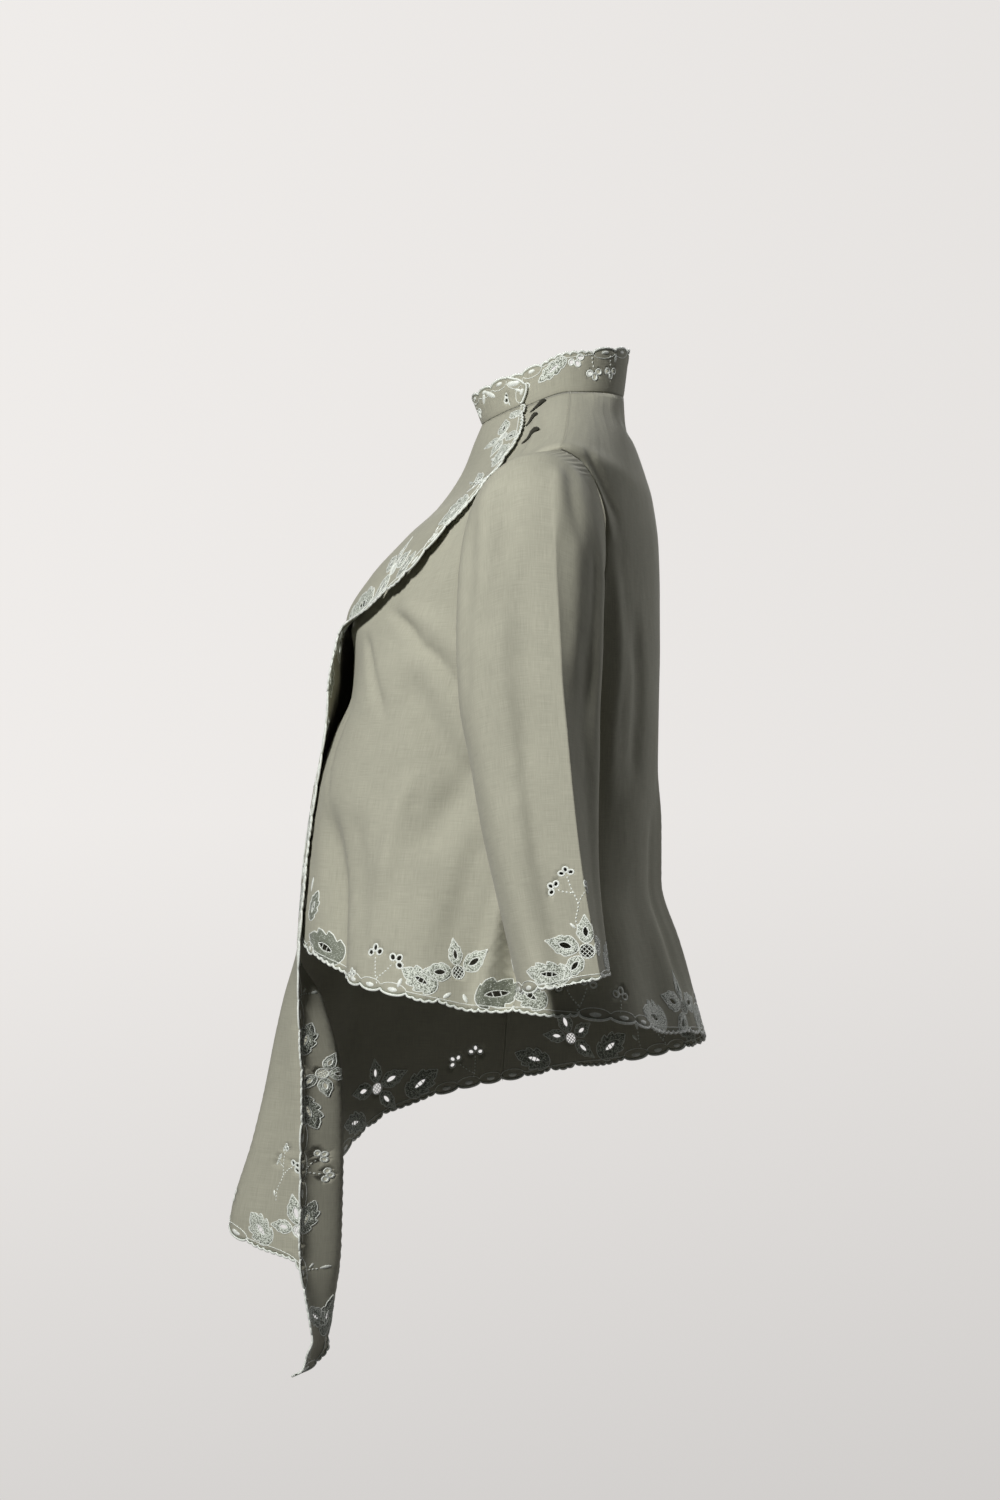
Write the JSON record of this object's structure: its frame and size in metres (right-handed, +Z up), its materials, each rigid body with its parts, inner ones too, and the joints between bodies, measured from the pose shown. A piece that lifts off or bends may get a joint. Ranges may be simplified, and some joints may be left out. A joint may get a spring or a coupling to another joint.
{
  "type": "beskap kebaya jacket",
  "caption": "Hollow long-sleeved wrap jacket as worn: stand collar, right front lapped over the left, hem falling to a long front point.",
  "frame": {"origin": "middle of the neck seam, between the tops of the two shoulder seams, where the wearer's neck and shoulders hold it up", "axes": "+Z up, -Y the way the wearer faces, +X the wearer's left"},
  "size_m": [0.5822, 0.4019, 0.8455],
  "materials": {
    "sage_cotton": "fine plain-weave cotton with a faint sheen, sage grey-green",
    "collar_cotton": "the same cotton in two layers, firm",
    "mint_thread": "satin embroidery thread, pale mint to white",
    "dark_cord": "dark olive-black thread loops"
  },
  "bodies": {
    "root": {"left_front": "sage_cotton", "right_front": "sage_cotton", "back": "sage_cotton", "left_sleeve": "sage_cotton", "right_sleeve": "sage_cotton", "collar": "collar_cotton", "loop_1": "dark_cord", "loop_2": "dark_cord", "loop_3": "dark_cord"}
  },
  "joints": []
}
